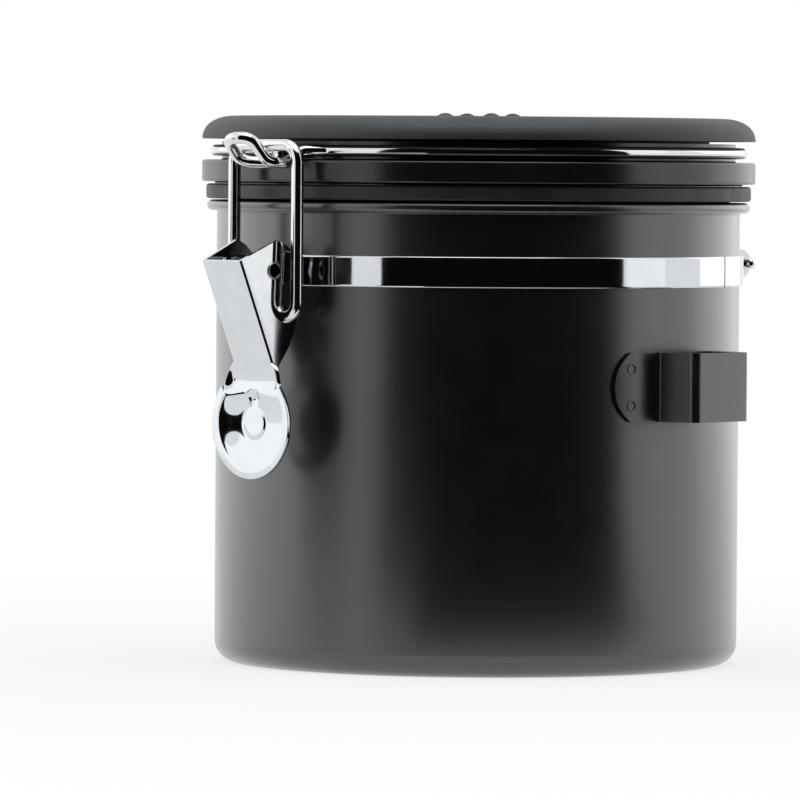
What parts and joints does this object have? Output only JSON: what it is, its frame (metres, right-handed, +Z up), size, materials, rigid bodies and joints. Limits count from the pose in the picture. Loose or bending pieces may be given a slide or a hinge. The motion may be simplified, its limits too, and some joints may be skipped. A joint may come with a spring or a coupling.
{
  "type": "food canister",
  "caption": "Cylindrical steel food canister with a gasketed hinged lid, a wire bail latch with a thumb lever, a date dial, a vent flap and a side hook for a scoop.",
  "frame": {"origin": "centre of the can's flat base, on the table", "axes": "+Z up along the can's axis, -Y towards the latch, +Y towards the lid hinge, +X towards the scoop hook's side"},
  "size_m": [0.135, 0.1503, 0.126],
  "materials": {
    "black_steel": "satin black coat on steel",
    "chrome": "polished plated steel",
    "black_matte": "fine matte texture",
    "black_gloss": "glossy moulding",
    "black_rubber": "soft matte"
  },
  "bodies": {
    "can": {"can_body": "black_steel", "clamp_band": "chrome", "latch_bracket": "chrome", "latch_pivot_pin": "chrome", "hinge_bracket": "chrome", "scoop_hook": "black_steel"},
    "lid": {"lid_base": "black_gloss", "lid_cap": "black_matte", "lid_gasket": "black_rubber", "valve_flap": "black_rubber", "lid_wire": "chrome"},
    "dial": {"date_dial": "black_matte"},
    "lever": {"latch_lever": "chrome"},
    "bail": {"bail_wire": "chrome"}
  },
  "joints": [
    {"name": "lid_hinge", "type": "hinge", "parent": "can", "child": "lid", "pos_m": [0, 0.066, 0.0915], "axis": [-1, 0, 0], "range_deg": [0, 110]},
    {"name": "dial_turn", "type": "hinge", "parent": "lid", "child": "dial", "pos_m": [0, 0, 0.1249], "axis": [0, 0, 1], "continuous": true},
    {"name": "lever_pivot", "type": "hinge", "parent": "can", "child": "lever", "pos_m": [0, -0.07075, 0.0903], "axis": [-1, 0, 0], "range_deg": [0, 115]},
    {"name": "bail_pivot", "type": "hinge", "parent": "lever", "child": "bail", "pos_m": [0, -0.06715, 0.08], "axis": [-1, 0, 0], "range_deg": [-92.5, 0]}
  ],
  "couplings": [
    {"joint": "bail_pivot", "follows": "lever_pivot", "ratio": -0.804}
  ]
}
